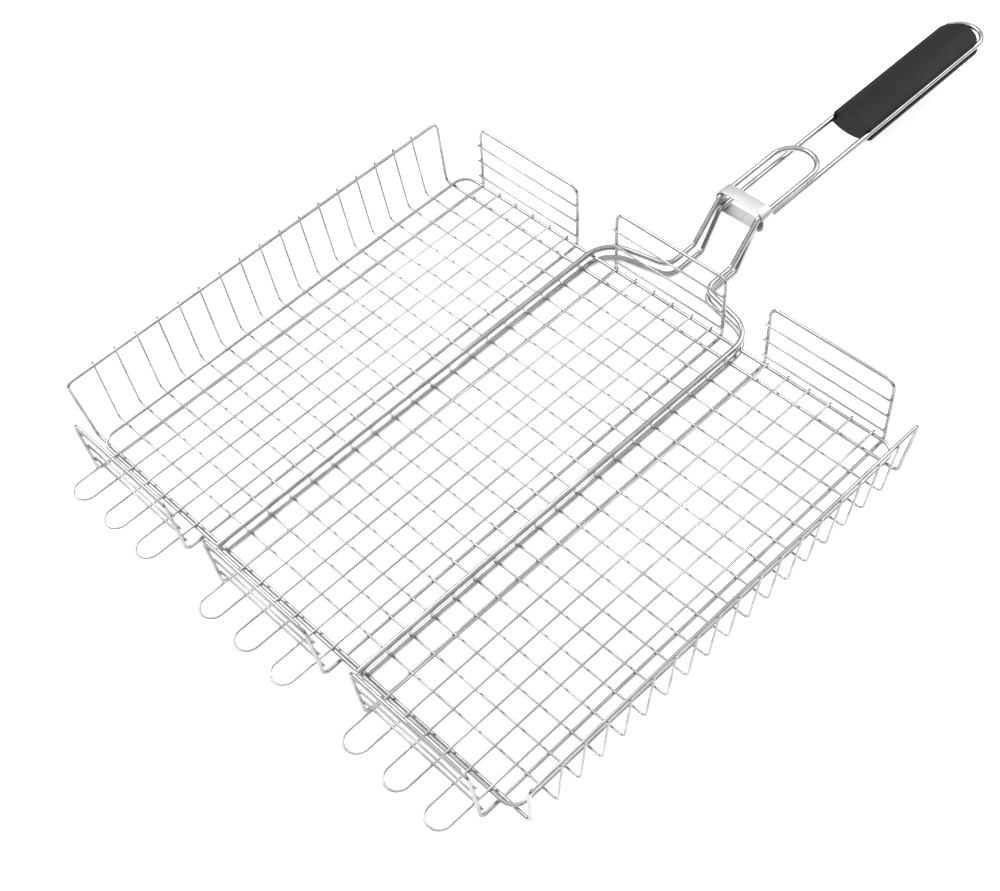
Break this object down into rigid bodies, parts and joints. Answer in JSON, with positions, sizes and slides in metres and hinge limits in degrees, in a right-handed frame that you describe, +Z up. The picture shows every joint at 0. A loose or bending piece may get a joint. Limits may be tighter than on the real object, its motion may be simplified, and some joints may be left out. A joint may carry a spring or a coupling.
{
  "type": "grill basket",
  "caption": "Welded wire grill basket with flared walls, a hinged wire lid, a sliding locking ring and a moulded grip on a long handle.",
  "frame": {"origin": "on the rest plane, under the middle of the whole length from the finger tips to the handle's end", "axes": "+Z up out of the basket, +Y along the handle towards the grip, +X to the right seen from the front"},
  "size_m": [0.4098, 0.693, 0.0536],
  "materials": {
    "chromed_wire": "bright chrome plating over round steel wire",
    "ring_strip": "satin zinc-plated steel strip",
    "grip_plastic": "black moulded heat-resistant plastic, satin"
  },
  "bodies": {
    "basket": {"basket_frame": "chromed_wire", "floor_cross_wire_01": "chromed_wire", "floor_cross_wire_02": "chromed_wire", "floor_cross_wire_03": "chromed_wire", "floor_cross_wire_04": "chromed_wire", "floor_cross_wire_05": "chromed_wire", "floor_cross_wire_06": "chromed_wire", "floor_cross_wire_07": "chromed_wire", "floor_cross_wire_08": "chromed_wire", "floor_cross_wire_09": "chromed_wire", "floor_cross_wire_10": "chromed_wire", "floor_cross_wire_11": "chromed_wire", "floor_cross_wire_12": "chromed_wire", "floor_cross_wire_13": "chromed_wire", "floor_cross_wire_14": "chromed_wire", "floor_cross_wire_15": "chromed_wire", "floor_cross_wire_16": "chromed_wire", "floor_cross_wire_17": "chromed_wire", "grip": "grip_plastic", "panel_bar_back_left_1": "chromed_wire", "panel_bar_back_left_2": "chromed_wire", "panel_bar_back_left_3": "chromed_wire", "panel_bar_back_middle_1": "chromed_wire", "panel_bar_back_middle_2": "chromed_wire", "panel_bar_back_middle_3": "chromed_wire", "panel_bar_back_right_1": "chromed_wire", "panel_bar_back_right_2": "chromed_wire", "panel_bar_back_right_3": "chromed_wire", "panel_bar_front_left_1": "chromed_wire", "panel_bar_front_left_2": "chromed_wire", "panel_bar_front_left_3": "chromed_wire", "panel_bar_front_middle_1": "chromed_wire", "panel_bar_front_middle_2": "chromed_wire", "panel_bar_front_middle_3": "chromed_wire", "panel_bar_front_right_1": "chromed_wire", "panel_bar_front_right_2": "chromed_wire", "panel_bar_front_right_3": "chromed_wire", "panel_loop_left": "chromed_wire", "panel_loop_middle": "chromed_wire", "panel_loop_right": "chromed_wire", "side_wall_loop": "chromed_wire"},
    "lid": {"lid_frame": "chromed_wire", "lid_hairpin_1": "chromed_wire", "lid_hairpin_2": "chromed_wire", "lid_hairpin_3": "chromed_wire", "lid_hairpin_4": "chromed_wire", "lid_hairpin_5": "chromed_wire", "lid_hairpin_6": "chromed_wire", "lid_hairpin_7": "chromed_wire", "lid_hairpin_8": "chromed_wire", "lid_hairpin_9": "chromed_wire", "lid_rim": "chromed_wire"},
    "locking_ring": {"locking_ring": "ring_strip"}
  },
  "joints": [
    {"name": "lid_hinge", "type": "hinge", "parent": "basket", "child": "lid", "pos_m": [0, -0.31968, 0.0122], "axis": [1, 0, 0], "range_deg": [0, 90]},
    {"name": "ring_slide", "type": "slide", "parent": "basket", "child": "locking_ring", "axis": [0, 1, 0], "range_m": [0, 0.1055]}
  ]
}
